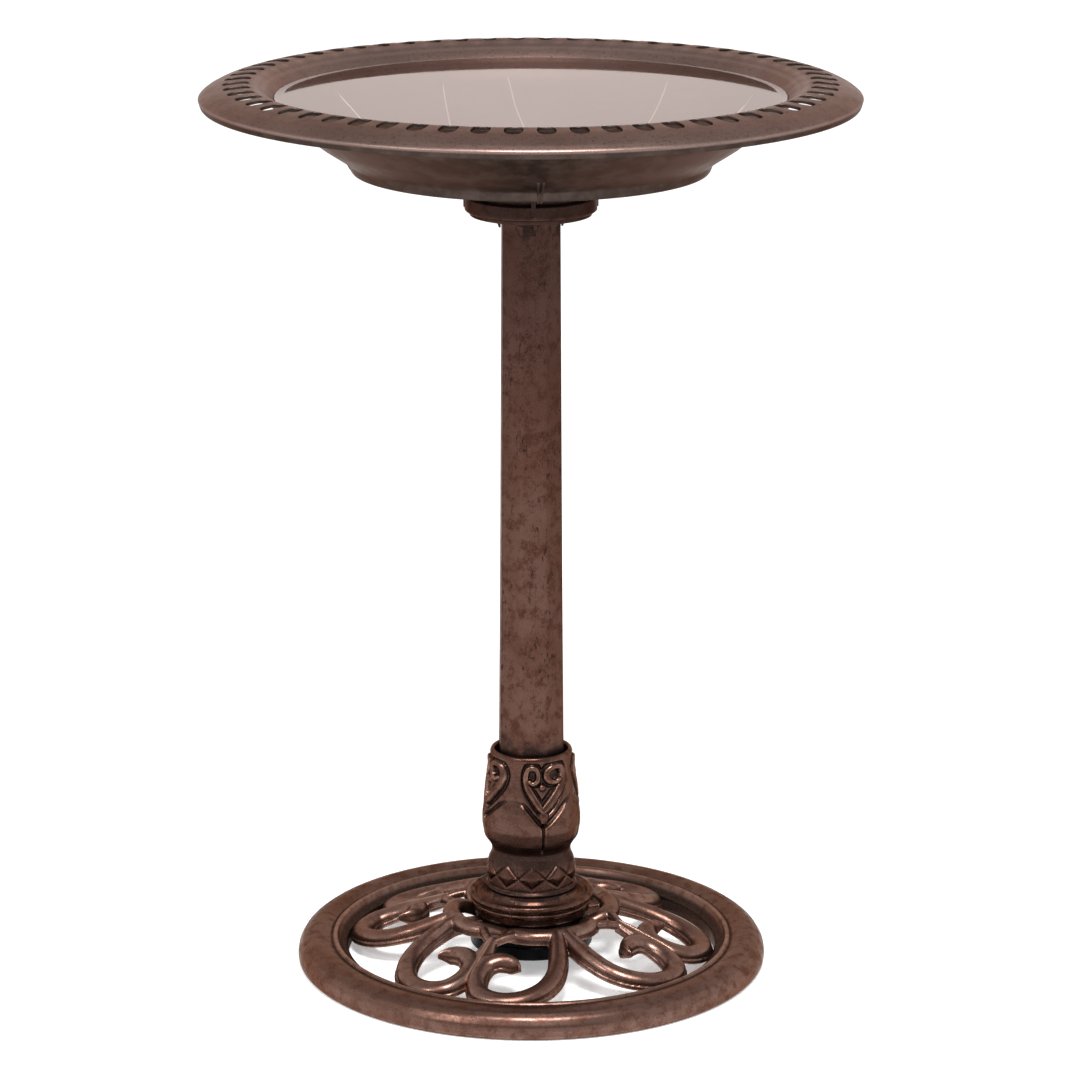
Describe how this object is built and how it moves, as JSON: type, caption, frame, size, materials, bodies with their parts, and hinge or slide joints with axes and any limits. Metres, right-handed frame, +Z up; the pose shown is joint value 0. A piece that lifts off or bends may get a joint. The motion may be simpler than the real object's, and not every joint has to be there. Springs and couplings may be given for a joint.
{
  "type": "bird bath",
  "caption": "Pedestal bird bath: a shallow round basin with a slotted rolled rim lifts off a slim fluted column, which stands in an urn on a round openwork scroll base.",
  "frame": {"origin": "middle of the base ring's underside, on the ground", "axes": "+Z up along the column, -Y towards the front"},
  "size_m": [0.508, 0.508, 0.711],
  "materials": {
    "bronze_resin": "antique bronze look resin, rubbed copper edges over dark patina, satin",
    "pale_resin": "paler pinkish bronze look resin, satin",
    "black_plastic": "plain black",
    "gloss_black_plastic": "gloss black",
    "zinc_steel": "zinc plated"
  },
  "bodies": {
    "stand": {"seat_collar": "bronze_resin", "column": "bronze_resin", "column_top_bush": "black_plastic", "column_foot_bush": "black_plastic", "urn": "bronze_resin", "tie_rod": "zinc_steel", "top_washer": "zinc_steel", "top_nut": "zinc_steel", "base_ring": "bronze_resin", "base_carrier": "black_plastic", "knob_washer": "zinc_steel", "scroll_panel_1": "bronze_resin", "scroll_panel_2": "bronze_resin", "scroll_panel_3": "bronze_resin", "scroll_panel_4": "bronze_resin", "panel_screw_1": "zinc_steel", "panel_screw_2": "zinc_steel", "panel_screw_3": "zinc_steel", "panel_screw_4": "zinc_steel"},
    "basin": {"basin": "pale_resin"},
    "clamp_knob": {"clamp_knob": "gloss_black_plastic"}
  },
  "joints": [
    {"name": "basin_lift", "type": "slide", "parent": "stand", "child": "basin", "axis": [0, 0, 1], "range_m": [0, 0.12]},
    {"name": "clamp_knob_turn", "type": "hinge", "parent": "stand", "child": "clamp_knob", "pos_m": [0, 0, 0.0176], "axis": [0, 0, 1], "continuous": true}
  ]
}
